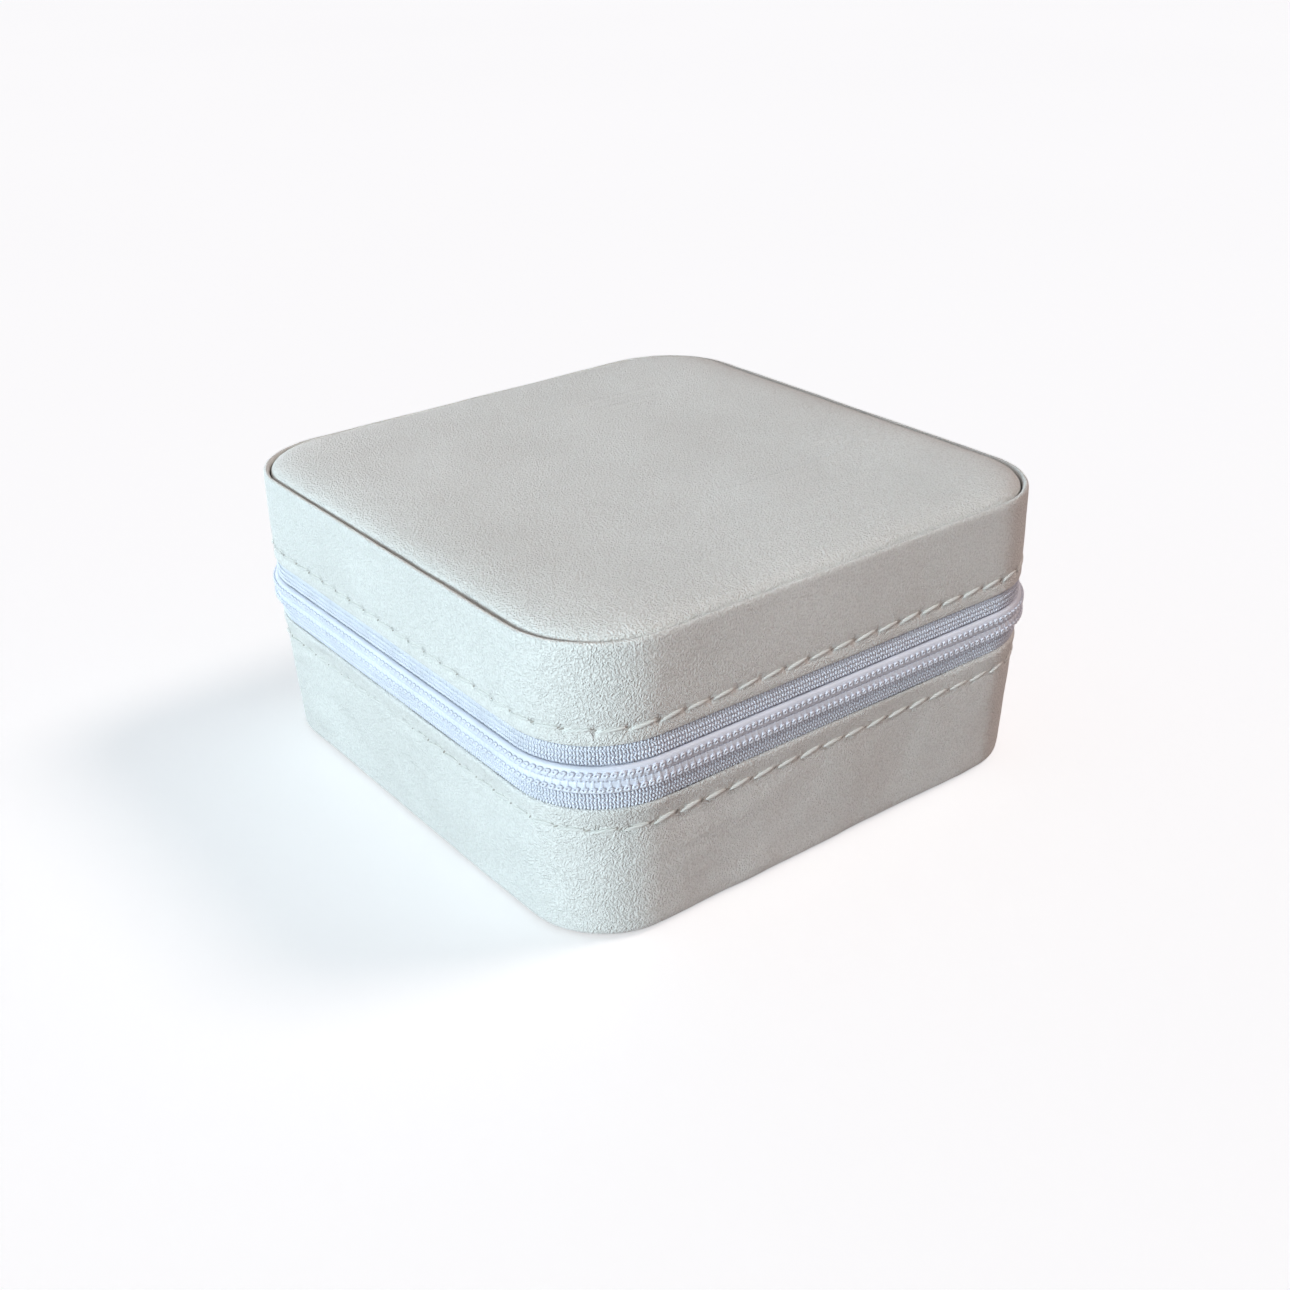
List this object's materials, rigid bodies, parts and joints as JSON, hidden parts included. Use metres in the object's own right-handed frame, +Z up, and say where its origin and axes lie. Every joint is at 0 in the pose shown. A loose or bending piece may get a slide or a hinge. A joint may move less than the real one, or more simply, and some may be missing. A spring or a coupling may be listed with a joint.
{
  "type": "zip-around travel jewelry box",
  "caption": "Small square leather-covered jewelry box with rounded corners, a hinged padded lid closed by a coil zipper, ring rolls, compartments and snap tabs inside.",
  "frame": {"origin": "middle of the face that the box stands on", "axes": "+Z up, -Y towards the front, the hinge at +Y, the closed zipper's slider on the +X side"},
  "size_m": [0.1047, 0.1034, 0.0514],
  "materials": {
    "leather": "white coated synthetic leather with a fine pebble grain",
    "former_plastic": "moulded board, hidden under the leather",
    "velvet": "short velvet pile on board",
    "velvet_foam": "velvet over a foam core",
    "foam": "soft foam sheet, hidden under the top panel",
    "pocket_cloth": "gathered satin",
    "brass": "polished light gold",
    "zipper_tape": "white woven tape",
    "nylon_coil": "white nylon monofilament",
    "zipper_metal": "plated die-cast metal",
    "thread": "bonded thread"
  },
  "bodies": {
    "base": {"base_former": "former_plastic", "base_cover": "leather", "base_bottom_panel": "leather", "base_liner_wall": "velvet", "base_floor_lining": "velvet", "ring_roll_bed": "velvet", "ring_roll_1": "velvet_foam", "ring_roll_2": "velvet_foam", "ring_roll_3": "velvet_foam", "ring_roll_4": "velvet_foam", "ring_roll_5": "velvet_foam", "ring_roll_6": "velvet_foam", "divider_long": "velvet", "divider_cross_front": "velvet", "divider_cross_rear": "velvet", "lower_tape": "zipper_tape", "lower_coil": "nylon_coil", "top_stop_lower": "zipper_metal", "bottom_stop": "zipper_metal", "hinge_strip": "leather", "hinge_lining": "velvet", "base_stitching": "thread"},
    "lid": {"lid_former": "former_plastic", "lid_side_cover": "leather", "lid_foam": "foam", "lid_top_panel": "leather", "lid_liner_wall": "velvet", "lid_liner_panel": "velvet", "lid_pocket": "pocket_cloth", "pocket_elastic": "pocket_cloth", "tab_anchor_strip": "leather", "snap_stud_1": "brass", "snap_stud_2": "brass", "snap_stud_3": "brass", "upper_tape": "zipper_tape", "upper_coil": "nylon_coil", "top_stop_upper": "zipper_metal", "lid_stitching": "thread"},
    "slider": {"slider_body": "zipper_metal"},
    "pull": {"pull_tab": "zipper_metal"},
    "tab_1": {"tab_1_strap": "leather", "tab_1_cap": "brass"},
    "tab_2": {"tab_2_strap": "leather", "tab_2_cap": "brass"},
    "tab_3": {"tab_3_strap": "leather", "tab_3_cap": "brass"}
  },
  "joints": [
    {"name": "lid_hinge", "type": "hinge", "parent": "base", "child": "lid", "pos_m": [0, 0.0512, 0.0286], "axis": [-1, 0, 0], "range_deg": [0, 110], "deforming": ["hinge_strip", "hinge_lining", "upper_coil", "upper_tape"]},
    {"name": "slider_slide", "type": "slide", "parent": "base", "child": "slider", "axis": [0, -1, 0], "range_m": [0, 0.058], "deforming": ["upper_coil", "lower_coil"]},
    {"name": "pull_tab_hinge", "type": "hinge", "parent": "slider", "child": "pull", "pos_m": [0.0526, 0.0295, 0.0286], "axis": [0, 0, 1], "range_deg": [0, 170]},
    {"name": "tab_1_hinge", "type": "hinge", "parent": "lid", "child": "tab_1", "pos_m": [-0.02, -0.031, 0.0438], "axis": [-1, 0, 0], "range_deg": [0, 110]},
    {"name": "tab_2_hinge", "type": "hinge", "parent": "lid", "child": "tab_2", "pos_m": [0, -0.031, 0.0438], "axis": [-1, 0, 0], "range_deg": [0, 110]},
    {"name": "tab_3_hinge", "type": "hinge", "parent": "lid", "child": "tab_3", "pos_m": [0.02, -0.031, 0.0438], "axis": [-1, 0, 0], "range_deg": [0, 110]}
  ]
}
